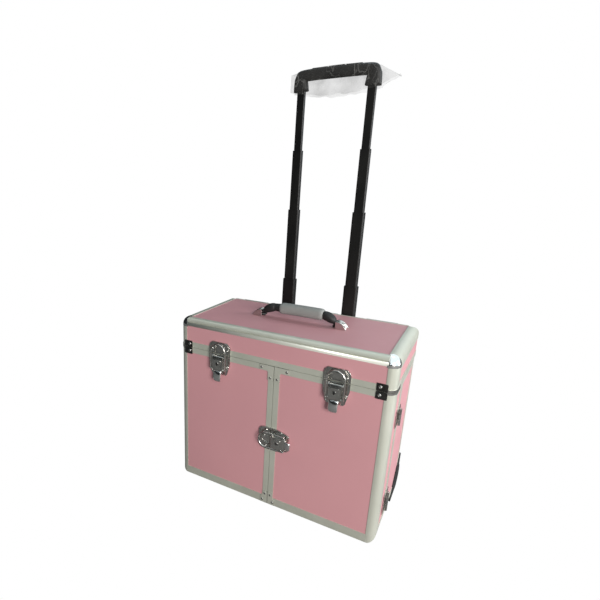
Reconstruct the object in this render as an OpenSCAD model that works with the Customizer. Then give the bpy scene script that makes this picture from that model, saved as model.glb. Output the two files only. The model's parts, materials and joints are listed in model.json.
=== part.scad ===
// Rolling makeup train case: lid over a top compartment, two deep doors over
// drawers, and a four-stage trolley handle on the back.
// X runs across the case, Y from the doors to the trolley, Z up.
// The origin is on the floor, under the middle of the whole object.

/* [Case] */
// Width of the case
case_w = 420; // [380:5:460]
// Depth of the case
case_d = 204; // [196:2:230]
// Height of the case without its feet
case_h = 358; // [345:1:380]
// Height of the lid
lid_h = 60; // [56:1:64]
// Depth of each door
door_d = 63; // [58:1:70]
// Thickness of the laminated panels
panel_t = 5; // [4:0.5:6]
// Height of the feet
foot_h = 7; // [6:0.5:9]

/* [Aluminium] */
// How far the panels sit below the aluminium
inset = 0.8; // [0.5:0.1:1]
// Radius of the long rounded edges
edge_r = 15; // [12:1:16]
// Width of the edge profile on the front and back
edge_front = 16.3; // [15:0.1:18]
// Width of the edge profile on the sides
edge_side = 24; // [20:1:28]
// Width of the edge profile on the top and bottom
edge_top = 19; // [16:1:22]
// Height of the strips at the lid's parting line
strip_h = 11; // [10:0.5:13]
// Height of the strip along the bottom of the doors
bottom_strip = 17; // [14:1:20]

/* [Inside] */
// Height of the top compartment's floor
floor_z = 224; // [220:1:228]
// Height of the shelf under the drawers
shelf_z = 80; // [78:1:82]
// Number of drawers
drawer_n = 3; // [3:1:3]

/* [Latches] */
// Distance from the middle to each front latch
latch_x = 115.5; // [100:0.5:130]
// Height of the middle of the door latch
door_latch_z = 149; // [140:1:170]

/* [Trolley] */
// Distance from the middle to each tube
tube_x = 68; // [60:1:75]
// Lengths that the four stages stand out of each other
stage_out = [141, 148, 116, 108];
// Widths of the fixed tube and the four stages
tube_w = [32.4, 27.8, 23.6, 19.6, 15.8];
// Depths of the fixed tube and the four stages
tube_d = [20.4, 17, 13.8, 10.8, 8];

/* [Wheels] */
// Radius of the wheels
wheel_r = 32; // [30:0.5:33]
// Width of the wheels
wheel_w = 18; // [16:1:20]

/* [Hidden] */

$fn = 48;
eps = 0.01;
hw = case_w / 2;              // half width
hd = case_d / 2;              // half depth
metal_t = panel_t + inset;    // depth of an aluminium profile
seam = 0.6;                   // gap between parts that open
parting_z = case_h - lid_h;   // bottom of the lid
door_y = -hd + door_d;        // back of the doors
front_reach = 13.3;           // how far the latches stand out in front
rear_reach = 25.2;            // how far the trolley stands out behind
case_y = (front_reach - rear_reach) / 2;
pin_r = 1.5;
knuckle_r = 3;
running_gap = 0.06;

// Puts a piece drawn on the case's own axes into the part's frame
module in_place() translate([0, case_y, foot_h]) children();

// A child once as drawn and once mirrored across the middle
module both_sides() {
  children();
  mirror([1, 0, 0]) children();
}

// A box from its lowest corner to its highest corner
module span(low, high) translate(low) cube(high - low);

// Rounded rectangle, centred, from squares and circles only
module round_rect(w, h, r) {
  square([w - 2 * r, h], center = true);
  square([w, h - 2 * r], center = true);
  for (x = [-1, 1], y = [-1, 1])
    translate([x * (w / 2 - r), y * (h / 2 - r)]) circle(r);
}

// Everything inside the rounded front outline of the case
module within_front_outline() intersection() {
  children();
  translate([0, hd + 1, case_h / 2]) rotate([90, 0, 0])
    linear_extrude(case_d + 2) round_rect(case_w, case_h, edge_r);
}

// Everything inside the rounded side outline of the lid and case
module within_side_outline() intersection() {
  children();
  translate([-hw - 1, 0, case_h / 2]) rotate([90, 0, 90])
    linear_extrude(case_w + 2) round_rect(case_d, case_h, edge_r - 1);
}

// L-shaped profile, rounded outside, corner at the origin, legs along +X and +Y
module corner_section(leg_x, leg_y, r) difference() {
  union() {
    translate([r, 0]) square([leg_x - r, leg_y]);
    translate([0, r]) square([leg_x, leg_y - r]);
    intersection() {
      translate([r, r]) circle(r);
      square([r, r]);
    }
  }
  translate([metal_t, metal_t]) square([leg_x, leg_y]);
}

/* ---- Body ---- */

// Side outline of a wheel housing, in Y and Z
housing_front = 38;           // reach along the bottom, from the middle
housing_top = 76;             // height up the back
housing_w = 33;
wheel_y = hd + 20 - wheel_r;
wheel_z = wheel_r - foot_h;
module housing_outline(grow = 0) {
  polygon([[housing_front - grow, -2 - grow], [hd + 2 + grow, -2 - grow],
           [hd + 2 + grow, housing_top + grow], [hd - 12 - grow, housing_top + grow],
           [housing_front - grow, 6 + grow]]);
  translate([wheel_y, wheel_z]) circle(wheel_r - 4);
}

// Solid that clears the corners for the wheel housings
module housing_notches() both_sides()
  translate([hw - housing_w, 0, 0]) rotate([90, 0, 90])
    linear_extrude(housing_w + 5) housing_outline();

module bottom_panel() color("lightgrey") in_place() difference() {
  span([-hw + edge_top, door_y + seam, 0.8], [hw - edge_top, hd - metal_t, 0.8 + panel_t]);
  housing_notches();
}

module rear_panel() color("pink") in_place() difference() {
  union() {
    span([-hw + edge_front, hd - metal_t, 0], [hw - edge_front, hd - inset, parting_z - seam]);
    span([-hw + metal_t + 1, hd - metal_t, parting_z - seam - eps],
         [hw - metal_t - 1, hd - inset, case_h - 8]);
  }
  housing_notches();
  // clear of the rims and the rear profiles
  both_sides() span([hw - edge_front, hd - metal_t - 1, parting_z - strip_h],
                    [hw, hd + 1, parting_z + seam]);
}

module side_panels() color("pink") in_place() both_sides() difference() {
  span([hw - metal_t, door_y + seam + 10, edge_side], [hw - inset, hd - edge_side, parting_z - strip_h]);
  housing_notches();
}

// Aluminium frame round the right side panel
module side_frame() difference() {
  within_front_outline() union() {
    // back corner
    translate([hw, hd, 0]) rotate([0, 0, 180])
      linear_extrude(parting_z - seam) corner_section(edge_front, edge_side, edge_r);
    // bottom edge
    translate([hw, door_y + seam, 0]) rotate([-90, 180, 0])
      linear_extrude(hd - door_y - seam - metal_t) corner_section(edge_top, edge_side, edge_r);
    // strip behind the door and strip under the lid
    span([hw - metal_t, door_y + seam, edge_side - 1], [hw, door_y + seam + 10, parting_z - seam]);
    span([hw - metal_t, door_y + seam, parting_z - strip_h], [hw, hd - edge_r, parting_z - seam]);
  }
  housing_notches();
}
module body_frame_left() color("silver") in_place() mirror([1, 0, 0]) side_frame();
module body_frame_right() color("silver") in_place() side_frame();

module compartment_floor() color("dimgrey") in_place()
  span([-hw + metal_t, door_y + seam, floor_z], [hw - metal_t, hd - metal_t, floor_z + 4]);

module compartment_front() color("dimgrey") in_place()
  span([-hw + metal_t, door_y + seam, floor_z + 4], [hw - metal_t, door_y + seam + 4, parting_z - 2]);

module drawer_shelf() color("dimgrey") in_place() difference() {
  span([-hw + metal_t, door_y + seam, shelf_z - 4], [hw - metal_t, hd - metal_t, shelf_z]);
  housing_notches();
}

drawer_h = (floor_z - shelf_z) / drawer_n - 2;
runner_w = 9;
module drawer_runners() color("silver") in_place() both_sides()
  for (i = [1 : drawer_n - 1])
    span([hw - metal_t - runner_w, door_y + 6, shelf_z + i * (drawer_h + 2) - 1.4],
         [hw - metal_t, hd - metal_t - 4, shelf_z + i * (drawer_h + 2) - 0.4]);

module front_feet() color("black") in_place() both_sides()
  translate([hw - 34, door_y + 22, -foot_h]) {
    cylinder(r = 9, h = foot_h - 2);
    translate([0, 0, foot_h - 2]) cylinder(r = 11, h = 2.8);
  }

module wheel_housing() difference() {
  translate([hw - housing_w, 0, 0]) rotate([90, 0, 90])
    linear_extrude(housing_w + 1.5) housing_outline();
  // well for the wheel, open behind and below
  translate([hw - housing_w + 6, wheel_y, wheel_z]) rotate([0, 90, 0])
    cylinder(r = wheel_r + 2, h = wheel_w + 4);
  // bore for the axle
  translate([hw - housing_w - 1, wheel_y, wheel_z]) rotate([0, 90, 0])
    cylinder(r = 4, h = housing_w + 5);
}
module wheel_housing_left() color("black") in_place() mirror([1, 0, 0]) wheel_housing();
module wheel_housing_right() color("black") in_place() wheel_housing();

module wheel_axles() color("silver") in_place() both_sides()
  translate([hw - housing_w, wheel_y, wheel_z]) rotate([0, 90, 0])
    cylinder(r = 4, h = housing_w + 1);

module wheel() translate([hw - housing_w + 8, wheel_y, wheel_z]) rotate([0, 90, 0])
  rotate_extrude($fn = 96) polygon([
    [4 + running_gap, 0], [12, 0], [12, 3], [wheel_r - 8, 3], [wheel_r - 7, 0.5], [wheel_r - 2, 0.5],
    [wheel_r, 4], [wheel_r, wheel_w - 4], [wheel_r - 2, wheel_w - 0.5], [wheel_r - 7, wheel_w - 0.5],
    [wheel_r - 8, wheel_w - 3], [12, wheel_w - 3], [12, wheel_w], [4 + running_gap, wheel_w]]);
module wheel_left() color("dimgrey") in_place() mirror([1, 0, 0]) wheel();
module wheel_right() color("dimgrey") in_place() wheel();

/* ---- Hinges ---- */

// Vertical barrel hinge of a door: lower and upper height of each hinge
door_hinge_z = [[34, 74], [214, 246]];
hinge_x = hw + 3.2;
leaf_reach = 18;
leaf_t = 1.2;
module door_hinge(low, high, fixed) {
  third = (high - low) / 3;
  mine = fixed ? [[low + third, high - third]] : [[low, low + third - 0.2], [high - third + 0.2, high]];
  side = fixed ? 1 : -1;
  // leaf on the side of the case
  edge = [door_y, door_y + side * leaf_reach];
  span([hw, min(door_y + side * 3.3, edge[1]), low], [hw + leaf_t, max(door_y + side * 3.3, edge[1]), high]);
  for (z = mine) {
    difference() {
      union() {
        translate([hinge_x, door_y, z[0]]) cylinder(r = knuckle_r, h = z[1] - z[0]);
        span([hw, min(door_y, door_y + side * 3.4), z[0]], [hinge_x, max(door_y, door_y + side * 3.4), z[1]]);
      }
      translate([hinge_x, door_y, z[0] - 1])
        cylinder(r = fixed ? pin_r : pin_r + running_gap, h = z[1] - z[0] + 2);
    }
  }
  if (fixed) translate([hinge_x, door_y, low - 1]) cylinder(r = pin_r, h = high - low + 2);
}
module door_hinges_fixed() color("silver") in_place() both_sides()
  for (z = door_hinge_z) door_hinge(z[0], z[1], true);

// Lid hinges along the top rear edge
lid_hinge_x = [[10, 50], [110, 170]];
lid_axis_y = hd - 3;
lid_axis_z = case_h - 3.4;
module lid_hinge(low, high, fixed) {
  third = (high - low) / 3;
  mine = fixed ? [[low + third, high - third]] : [[low, low + third - 0.2], [high - third + 0.2, high]];
  for (x = mine) difference() {
    union() {
      translate([x[0], lid_axis_y, lid_axis_z]) rotate([0, 90, 0]) cylinder(r = knuckle_r, h = x[1] - x[0]);
      if (fixed) span([x[0], hd - metal_t, case_h - 8], [x[1], hd - inset, lid_axis_z]);
      else span([x[0], hd - metal_t - inset, lid_axis_z], [x[1], lid_axis_y, lid_axis_z + 2.6]);
    }
    translate([x[0] - 1, lid_axis_y, lid_axis_z]) rotate([0, 90, 0])
      cylinder(r = fixed ? pin_r : pin_r + running_gap, h = x[1] - x[0] + 2);
  }
  if (fixed) translate([low, lid_axis_y, lid_axis_z]) rotate([0, 90, 0]) cylinder(r = pin_r, h = high - low);
}
module lid_hinges_fixed() color("silver") in_place() both_sides()
  for (x = lid_hinge_x) lid_hinge(x[0], x[1], true);
module lid_hinges_moving() color("silver") in_place() both_sides()
  for (x = lid_hinge_x) lid_hinge(x[0], x[1], false);

/* ---- Lid ---- */

lid_rear = hd - metal_t - inset;   // rear face of the lid's top, in front of the hinge
lid_rear_w = 3.5;
lid_bottom = parting_z + seam / 2;
top_front_w = 12.2;                // width of the front edge profile on the top
ball_r = 15.6;
ball_skirt = edge_front - ball_r;

module lid_top_panel() color("pink") in_place()
  span([-hw + edge_top, -hd + top_front_w, case_h - metal_t], [hw - edge_top, lid_rear - lid_rear_w, case_h - inset]);

module lid_front_panel() color("pink") in_place()
  span([-hw + edge_front, -hd + inset, lid_bottom + strip_h], [hw - edge_front, -hd + metal_t, case_h - edge_front]);

module lid_side_panels() color("pink") in_place() both_sides()
  span([hw - metal_t, -hd + edge_side, lid_bottom + strip_h], [hw - inset, hd, case_h - edge_side]);

// Edge profile along one top side edge and down the front corner of the lid
module lid_edges_side() color("silver") in_place() both_sides() difference() {
  within_side_outline() within_front_outline() union() {
    translate([hw, hd, case_h]) rotate([90, 0, 0]) rotate([0, 0, 180])
      linear_extrude(case_d - edge_front) corner_section(edge_top, edge_side, edge_r);
    translate([hw, -hd, lid_bottom]) rotate([0, 0, 90])
      linear_extrude(lid_h) corner_section(edge_side, edge_front, edge_r);
  }
  // room for the ball corner, the other edges and the inside of the lid
  span([hw - edge_front, -hd - 1, case_h - edge_front], [hw + 1, -hd + edge_front, case_h + 1]);
  span([0, -hd - 1, case_h - 30], [hw - edge_front, -hd + top_front_w, case_h + 1]);
  span([0, lid_rear, case_h - 8], [hw - 14, hd + 1, case_h + 1]);
  span([hw - 40, -hd + metal_t, lid_bottom - 1], [hw - metal_t, hd + 1, case_h - metal_t]);
}

module lid_edge_front() color("silver") in_place() difference() {
  translate([-hw + edge_front, -hd, case_h]) rotate([90, 0, 90]) mirror([0, 1, 0])
    linear_extrude(case_w - 2 * edge_front) corner_section(top_front_w, edge_front, edge_r - 3);
  // a shallow groove along the rounding
  translate([-hw, -hd + 3.6, case_h - 3.6]) rotate([45, 0, 0]) translate([0, -0.6, 0]) cube([case_w, 1.2, 6]);
}

module lid_edge_rear() color("silver") in_place()
  span([-hw + edge_top, lid_rear - lid_rear_w, case_h - metal_t], [hw - edge_top, lid_rear, case_h]);

module lid_rim() color("silver") in_place() within_side_outline() within_front_outline() union() {
  span([-hw + edge_front, -hd, lid_bottom], [hw - edge_front, -hd + metal_t, lid_bottom + strip_h]);
  both_sides()
    span([hw - metal_t, -hd + edge_side, lid_bottom], [hw, hd, lid_bottom + strip_h]);
}

// Chrome corner: a ball with a short skirt down each edge
module lid_ball_corners() color("silver") in_place() both_sides() difference() {
  translate([hw - ball_r, -hd + ball_r, case_h - ball_r]) intersection() {
    union() {
      sphere(r = ball_r);
      translate([0, 0, -ball_r]) cylinder(r = ball_r, h = ball_r);
      rotate([-90, 0, 0]) cylinder(r = ball_r, h = 3);
      rotate([0, -90, 0]) cylinder(r = ball_r, h = 3);
    }
    span([-ball_skirt, -ball_r - 1, -ball_skirt], [ball_r + 1, ball_skirt, ball_r + 1]);
  }
  span([0, -hd + metal_t, 0], [hw - metal_t, hd, case_h - metal_t]);
}

// Riveted bracket on the parting line at each front corner, as an upper or lower half
bracket_w = 18;
bracket_h = 13.5;
module corner_bracket(up) {
  s = up ? 1 : -1;
  z0 = parting_z + s * seam / 2;
  z1 = z0 + s * bracket_h;
  band = z0 + s * 4;
  span([hw - 12 - bracket_w, -hd - 0.9, min(z0, z1)], [hw - 12, -hd, max(z0, z1)]);
  translate([hw - 6 - bracket_w, -hd - 0.9, (z0 + z1) / 2]) rotate([90, 0, 0]) {
    cylinder(r = 2.3, h = 0.7);
    translate([0, 0, 0.7]) cylinder(r = 1.2, h = 0.4);
  }
  // band round the corner profile and along the side
  difference() {
    union() {
      translate([hw - edge_r, -hd + edge_r, min(z0, band)]) cylinder(r = edge_r + 0.8, h = abs(band - z0), $fn = 64);
      span([hw - 14, -hd + edge_r, min(z0, band)], [hw + 0.8, -hd + 40, max(z0, band)]);
    }
    translate([hw - edge_r, -hd + edge_r, min(z0, band) - 1]) cylinder(r = edge_r, h = 8, $fn = 64);
    span([0, -hd + edge_r, min(z0, band) - 1], [hw, hd, max(z0, band) + 1]);
    span([0, -hd, min(z0, band) - 1], [hw - edge_r, hd, max(z0, band) + 1]);
  }
}
module lid_brackets() color("silver") in_place() both_sides() corner_bracket(true);

/* ---- Latches, drawn with the seam at the origin, the catch up and -Y outward ---- */

plate_t = 1.5;
plate_w = 47;
lever_w = 22;
lever_pivot = [0, -6, -6];     // Y is negative outward
bail_pivot_z = -30;
bail_y = -9.2;
bail_r = 1.4;
bail_half = 15.6;
bail_top = 20;

// A flat plate in X and Z standing on the face
module plate(t = plate_t) rotate([90, 0, 0]) linear_extrude(t) children();

module catch_plate() {
  plate() {
    translate([-plate_w / 2, seam]) square([plate_w, 12]);
    intersection() {
      translate([0, 6]) circle(r = 24.5);
      translate([-plate_w / 2 + 3, seam]) square([plate_w - 6, 24]);
    }
  }
  // hook that the bail drops over
  translate([0, -plate_t, 14]) span([-5.5, -2.6, -3], [5.5, 0, 3]);
  translate([0, -plate_t, 10]) rotate([90, 0, 0]) cylinder(r = 3, h = 1.2);
  for (x = [-17, 17]) translate([x, -plate_t, 9]) rotate([90, 0, 0]) cylinder(r = 2.4, h = 1);
}

module base_plate(len) {
  plate() difference() {
    polygon([[-plate_w / 2, -seam], [plate_w / 2, -seam], [plate_w / 2, -14], [plate_w / 2 - 6, -len],
             [-plate_w / 2 + 6, -len], [-plate_w / 2, -14]]);
    translate([0, -len - 6]) circle(r = 9);
  }
  for (x = [-18.6, 18.6]) translate([x, -plate_t, -24]) rotate([90, 0, 0]) cylinder(r = 2.2, h = 1);
  // ears and pin of the lever
  for (x = [-13.2, 11.6]) translate([x, 0, 0]) difference() {
    union() {
      span([0, -6, -9], [1.6, -plate_t + eps, -3]);
      translate([0, lever_pivot.y, lever_pivot.z]) rotate([0, 90, 0]) cylinder(r = 3, h = 1.6);
    }
    translate([-1, lever_pivot.y, lever_pivot.z]) rotate([0, 90, 0]) cylinder(r = pin_r, h = 4);
  }
  translate([-13.2, lever_pivot.y, lever_pivot.z]) rotate([0, 90, 0]) cylinder(r = pin_r, h = 26.4);
}

module lever(tab) difference() {
  union() {
    translate([-lever_w / 2, lever_pivot.y, lever_pivot.z]) rotate([0, 90, 0]) cylinder(r = 3.9, h = lever_w);
    span([-lever_w / 2, -11, -34], [lever_w / 2, -2.1, lever_pivot.z]);
    // finger tab, bent outward at its end
    span([-7.5, -8.5, -34 - tab + 6], [7.5, -6.5, -33]);
    translate([-7.5, -9.9, -34 - tab + 6]) rotate([0, 90, 0]) difference() {
      cylinder(r = 3.4, h = 15);
      translate([0, 0, -1]) cylinder(r = 1.4, h = 17);
      span([-6, -6, -1], [0, 0, 17]);
    }
  }
  translate([-lever_w, lever_pivot.y, lever_pivot.z]) rotate([0, 90, 0])
    cylinder(r = pin_r + running_gap, h = 2 * lever_w);
  translate([-lever_w, bail_y + 2.2, bail_pivot_z]) rotate([0, 90, 0])
    cylinder(r = bail_r + running_gap, h = 2 * lever_w);
  // keyhole
  translate([0, -9, -16]) rotate([90, 0, 0]) cylinder(r = 1.8, h = 4);
  translate([-0.8, -12, -20]) cube([1.6, 3, 4]);
}

module bail() {
  straight = bail_top - bail_half + bail_r;
  for (s = [-1, 1]) {
    translate([s * bail_half, bail_y, bail_pivot_z]) cylinder(r = bail_r, h = straight - bail_pivot_z);
    translate([s * bail_half, bail_y, bail_pivot_z]) sphere(r = bail_r);
    translate([s * bail_half, bail_y, bail_pivot_z]) rotate([-90, 0, 0]) cylinder(r = bail_r, h = 2.2);
    translate([s * bail_half, bail_y + 2.2, bail_pivot_z]) sphere(r = bail_r);
    translate([s > 0 ? 8 : -bail_half, bail_y + 2.2, bail_pivot_z]) rotate([0, 90, 0])
      cylinder(r = bail_r, h = bail_half - 8);
  }
  translate([0, bail_y, straight]) rotate([90, 0, 0]) rotate_extrude(angle = 180)
    translate([bail_half, 0]) circle(bail_r);
}

module at_front_latch(side) in_place() translate([side * latch_x, -hd, parting_z]) children();
module at_door_latch() in_place() translate([0, -hd, door_latch_z]) rotate([0, -90, 0]) children();

module lid_catches() color("silver") for (s = [-1, 1]) at_front_latch(s) catch_plate();
module latch_plates_left() color("silver") {
  at_front_latch(-1) base_plate(42);
  at_door_latch() catch_plate();
}
module latch_plates_right() color("silver") {
  at_front_latch(1) base_plate(42);
  at_door_latch() base_plate(38);
}
module latch_lever_left() color("gainsboro") at_front_latch(-1) lever(24);
module latch_lever_right() color("gainsboro") at_front_latch(1) lever(24);
module latch_lever_door() color("gainsboro") at_door_latch() lever(13);
module latch_bail_left() color("white") at_front_latch(-1) bail();
module latch_bail_right() color("white") at_front_latch(1) bail();
module latch_bail_door() color("white") at_door_latch() bail();

/* ---- Carry handle ---- */

handle_y = 3;
grip_half = 50;
sleeve_short = 12;             // the sleeve stops this far short of the left arm's end
grip_z = case_h + 20.5;
mount_in = 76;
mount_out = 95;
lift = 5;                      // free play of the handle in its mounts

module handle_mounts() color("silver") in_place() both_sides() difference() {
  translate([0, handle_y + 9, 0]) rotate([90, 0, 0]) linear_extrude(18)
    polygon([[mount_in, case_h - inset], [mount_out, case_h - inset], [mount_out, case_h + 3],
             [mount_out - 7, case_h + 14], [mount_in, case_h + 15]]);
  span([mount_in - 1, handle_y - 6, case_h + 0.5], [mount_out - 8, handle_y + 6, case_h + 11.5]);
  for (y = [-5.5, 0, 5.5]) translate([mount_in + 3, handle_y + y - 0.8, case_h + 14]) cube([mount_out, 1.6, 3]);
}

module handle_arm() {
  span([mount_in - 8, handle_y - 5, case_h + 0.8], [mount_out - 9, handle_y + 5, case_h + 0.8 + lift]);
  hull() {
    translate([mount_in - 5, handle_y, case_h + 7]) scale([0.7, 1, 0.9]) sphere(r = 6.6, $fn = 32);
    translate([mount_in - 14, handle_y, case_h + 15]) sphere(r = 7.6, $fn = 32);
  }
  hull() {
    translate([mount_in - 14, handle_y, case_h + 15]) sphere(r = 7.6, $fn = 32);
    translate([grip_half, handle_y, grip_z]) rotate([0, 90, 0]) cylinder(r = 9, h = 1, $fn = 32);
  }
}

module handle_arms() color("black") in_place() {
  both_sides() handle_arm();
  translate([-grip_half, handle_y, grip_z]) rotate([0, 90, 0]) cylinder(r = 9, h = sleeve_short, $fn = 32);
}

module handle_grip() color("grey") in_place()
  translate([sleeve_short - grip_half, handle_y, grip_z]) rotate([0, 90, 0])
    linear_extrude(2 * grip_half - sleeve_short) round_rect(22, 24, 8);

/* ---- Doors, drawn for the right side ---- */

door_back = door_y - 0.4;
door_top = parting_z - seam / 2;
half_gap = 0.4;                // half the gap between the two doors
centre_strip = 11.3;
top_strip = 11.5;

module door_panel() {
  span([centre_strip, -hd + inset, bottom_strip], [hw - edge_front, -hd + metal_t, door_top - top_strip]);
  span([hw - metal_t, -hd + edge_side, edge_side], [hw - inset, door_back - 6, door_top - top_strip]);
}

module door_strips() within_front_outline() {
  span([half_gap, -hd, 0], [centre_strip, -hd + metal_t, door_top]);
  span([half_gap, -hd, 0], [hw - edge_front, -hd + metal_t, bottom_strip]);
  span([half_gap, -hd, door_top - top_strip], [hw - edge_front, -hd + metal_t, door_top]);
}

module door_edge() within_front_outline() {
  translate([hw, -hd, 0]) rotate([0, 0, 90]) linear_extrude(door_top) corner_section(edge_side, edge_front, edge_r);
  translate([hw, -hd + edge_r, 0]) rotate([-90, 180, 0])
    linear_extrude(door_back + hd - edge_r) corner_section(edge_top, edge_side, edge_r);
  span([hw - metal_t, -hd + edge_side, door_top - top_strip], [hw, door_back, door_top]);
  span([hw - metal_t, door_back - 6, edge_side - 1], [hw, door_back, door_top]);
}

// Top, bottom and middle walls that make each door a shallow tray
module door_lining() {
  wall = 4;
  shelf_back = 16;
  span([half_gap, -hd + metal_t, door_top - wall - 6], [hw - metal_t, door_back, door_top - 6]);
  span([half_gap, -hd + metal_t, 1], [hw - edge_top, door_back, 1 + wall]);
  span([half_gap, -hd + metal_t, 1 + wall], [half_gap + wall, door_back, door_top - wall - 6]);
  // shelf with an upturned lip for bottles
  span([half_gap + wall, -hd + metal_t, 120], [hw - metal_t, door_back - shelf_back, 123]);
  span([half_gap + wall, door_back - shelf_back - 2, 123], [hw - metal_t, door_back - shelf_back, 142]);
}

module rivet(x, z) translate([x, -hd - 0.9, z]) rotate([90, 0, 0]) {
  cylinder(r = 2, h = 0.6);
  translate([0, 0, 0.6]) cylinder(r = 1.1, h = 0.4);
}

module door_fittings() {
  corner_bracket(false);
  translate([0, -hd, 0]) rotate([90, 0, 0]) linear_extrude(0.9) {
    // bracket at the top of the middle strip
    translate([half_gap, door_top - 10.5]) square([29, 10.5]);
    translate([half_gap, door_top - 29]) square([11.6, 29]);
    // bracket at the bottom of the middle strip
    translate([half_gap, 0.5]) square([15, 14]);
    translate([half_gap, 0.5]) square([10.6, 27]);
  }
  rivet(25, door_top - 5.5);
  rivet(7, door_top - 24);
  rivet(6, 22);
  rivet(11, 7);
  for (z = door_hinge_z) door_hinge(z[0], z[1], false);
}

module door_panel_left() color("pink") in_place() mirror([1, 0, 0]) door_panel();
module door_panel_right() color("pink") in_place() door_panel();
module door_strips_left() color("silver") in_place() mirror([1, 0, 0]) door_strips();
module door_strips_right() color("silver") in_place() door_strips();
module door_edge_left() color("silver") in_place() mirror([1, 0, 0]) door_edge();
module door_edge_right() color("silver") in_place() door_edge();
module door_lining_left() color("dimgrey") in_place() mirror([1, 0, 0]) door_lining();
module door_lining_right() color("dimgrey") in_place() door_lining();
module door_fittings_left() color("gainsboro") in_place() mirror([1, 0, 0]) door_fittings();
module door_fittings_right() color("gainsboro") in_place() door_fittings();

/* ---- Drawers ---- */

drawer_half = hw - metal_t - 1.2;
drawer_back = hd - 24;
module drawer(i) color("dimgrey") in_place()
  translate([0, 0, shelf_z + (i - 1) * (drawer_h + 2) + 0.6]) {
    wall_x = drawer_half - runner_w;
    span([-drawer_half, door_y + 1.2, 0], [drawer_half, door_y + 4.6, drawer_h]);
    span([-drawer_half, door_y + 4.6, 0], [drawer_half, drawer_back, 2]);
    for (x = [-wall_x, wall_x - 3]) span([x, door_y + 4.6, 2], [x + 3, drawer_back, drawer_h - 4]);
    span([-wall_x, drawer_back - 3, 2], [wall_x, drawer_back, drawer_h - 4]);
    // knobs
    both_sides() translate([100, door_y + 1.2, drawer_h / 2]) rotate([90, 0, 0]) {
      cylinder(r = 3.2, h = 4);
      translate([0, 0, 4]) cylinder(r = 6.5, h = 4);
    }
  }
module drawer_1() drawer(1);
module drawer_2() drawer(2);
module drawer_3() drawer(3);

/* ---- Trolley ---- */

tube_y = hd + 13;
fixed_foot = 20;
fixed_top = 275;
overlap = 40;                  // length of each stage inside the one below when extended
// top of the fixed tube and of each stage
stage_top = [for (i = 0, z = fixed_top; i <= 4; z = z + (i < 4 ? stage_out[i] : 0), i = i + 1) z];

module tube(i, low, high, solid = false) both_sides() translate([tube_x, tube_y, low]) difference() {
  linear_extrude(high - low) round_rect(tube_w[i], tube_d[i], tube_d[i] * 0.22);
  if (!solid) translate([0, 0, -1]) linear_extrude(high - low + 2)
    round_rect(tube_w[i + 1] + 0.6, tube_d[i + 1] + 0.6, tube_d[i + 1] * 0.22 + 0.3);
}

module trolley_fixed_tubes() color("black") in_place() {
  tube(0, fixed_foot, fixed_top);
  // plates that hold the tubes to the back
  for (z = [34, 246]) {
    span([-tube_x + 14, hd - inset, z], [tube_x - 14, hd + 4.2, z + 18]);
    both_sides() span([tube_x - 15, hd - inset, z], [tube_x + 22, tube_y - tube_d[0] / 2 + 0.4, z + 18]);
  }
}
module trolley_stage(i) color("black") in_place() tube(i, stage_top[i - 1] - overlap, stage_top[i], i == 4);
module trolley_stage_1() trolley_stage(1);
module trolley_stage_2() trolley_stage(2);
module trolley_stage_3() trolley_stage(3);
module trolley_stage_4() trolley_stage(4);

grip_x = 85;
grip_d = 21;
grip_top = 38;                 // height of the grip above the tubes
grip_under = 18;               // height of the bar's underside above the tubes
grip_steps = 24;
module grip_outline() {
  rise = 7;
  top = [for (i = [-grip_steps : grip_steps]) let (x = i / grip_steps)
    [x * grip_x, grip_top - rise * x * x - 6 * pow(abs(x), 10)]];
  under = [for (i = [grip_steps : -1 : -grip_steps]) let (x = i / grip_steps)
    [x * (grip_x - 33), grip_under - 3 * x * x]];
  polygon(concat(top, [[grip_x - 3, 0], [grip_x - 31, 0]], under, [[31 - grip_x, 0], [3 - grip_x, 0]]));
}
button = [30, 11];
module trolley_grip() color("dimgrey") in_place() difference() {
  translate([0, tube_y + grip_d / 2, stage_top[4]]) rotate([90, 0, 0]) linear_extrude(grip_d) grip_outline();
  translate([-button.x / 2 - 0.4, tube_y - button.y / 2 - 0.4, stage_top[4] + grip_top - 8])
    cube([button.x + 0.8, button.y + 0.8, 20]);
}
module grip_button() color("black") in_place()
  translate([-button.x / 2, tube_y - button.y / 2, stage_top[4] + grip_top - 4])
    cube([button.x, button.y, 4.4]);

// Loose plastic film round the grip: front and back sheets joined along the top
film_d = 24.4;
film_t = 0.8;
module grip_film() color("white", 0.4) in_place() translate([0, tube_y, stage_top[4]]) {
  for (y = [-film_d / 2, film_d / 2 - film_t]) translate([0, y + film_t, 0]) rotate([90, 0, 0])
    linear_extrude(film_t) polygon([[-grip_x - 3, -2], [-40, -12], [44, -14], [grip_x + 30, 4],
      [grip_x + 32, 20], [grip_x - 4, grip_top + 1.6], [-grip_x + 6, grip_top + 1.6], [-grip_x - 3, 24]]);
  span([-grip_x + 6, -film_d / 2 + film_t, grip_top + 1.6 - film_t],
       [grip_x - 4, film_d / 2 - film_t, grip_top + 1.6]);
}

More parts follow.
